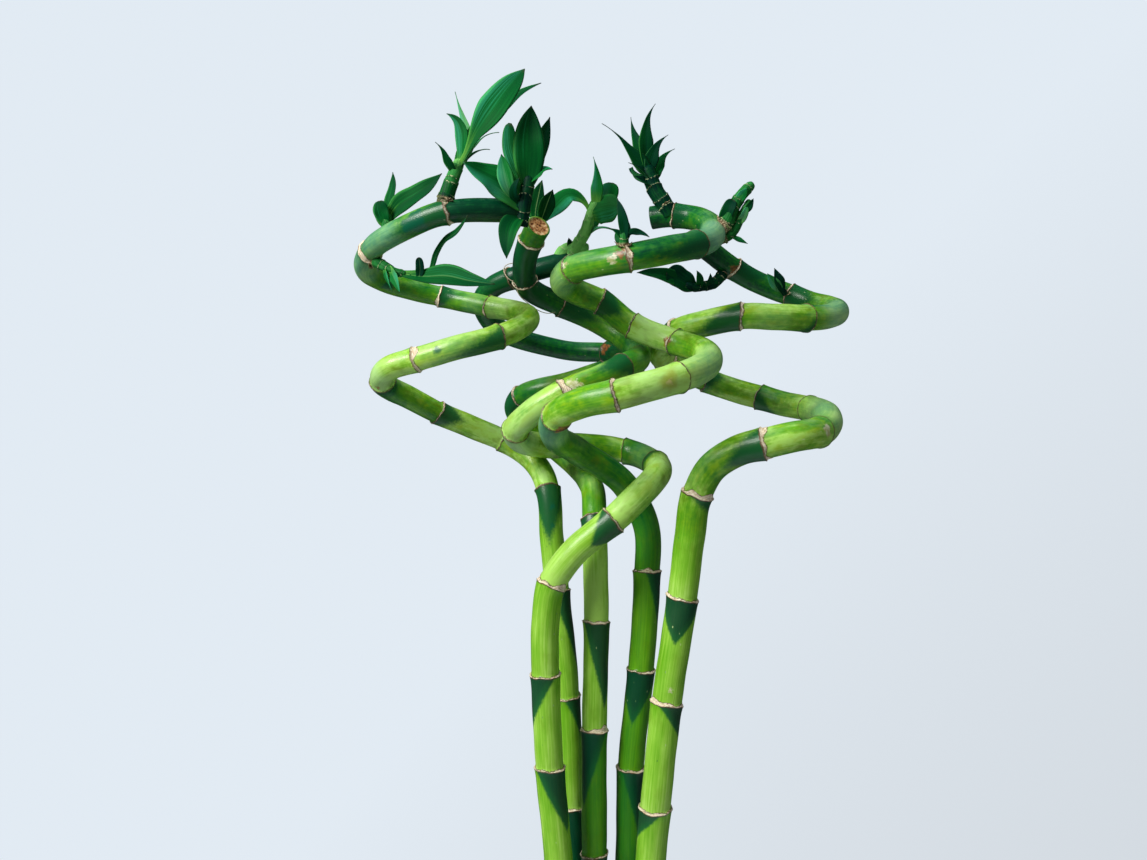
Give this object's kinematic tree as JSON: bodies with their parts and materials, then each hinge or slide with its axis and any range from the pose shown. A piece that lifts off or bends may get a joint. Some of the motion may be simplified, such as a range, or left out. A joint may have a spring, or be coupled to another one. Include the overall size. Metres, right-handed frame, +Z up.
{
  "type": "lucky bamboo",
  "caption": "Potted lucky bamboo: green canes wound into helices near their tops, with short leafy shoots, standing in a pebble-filled plain vase.",
  "frame": {"origin": "centre of the vase's base, on the surface that it stands on", "axes": "+Z up along the canes, -Y towards the side that the picture shows, +X to the right in the picture"},
  "size_m": [0.2574, 0.1849, 0.6163],
  "materials": {
    "vase_glaze": "smooth off-white glaze",
    "pebbles": "smooth, worn river pebbles in pale greys and tans",
    "cane": "smooth waxy green cane with dark patches under pale ring scars",
    "leaf": "satin deep green leaf, paler towards its base"
  },
  "bodies": {
    "root": {"vase": "vase_glaze", "pebble_bed": "pebbles", "cane_left": "cane", "cane_front": "cane", "cane_centre": "cane", "cane_right": "cane", "cane_back": "cane", "shoot_tall": "leaf", "shoot_upper_left": "leaf", "shoot_trailing": "leaf", "shoot_dark": "leaf", "shoot_cut_top": "leaf", "shoot_back": "leaf", "shoot_spike": "leaf", "shoot_crown": "leaf", "shoot_stubs": "leaf", "shoot_low_right": "leaf", "shoot_leaflet": "leaf"}
  },
  "joints": []
}
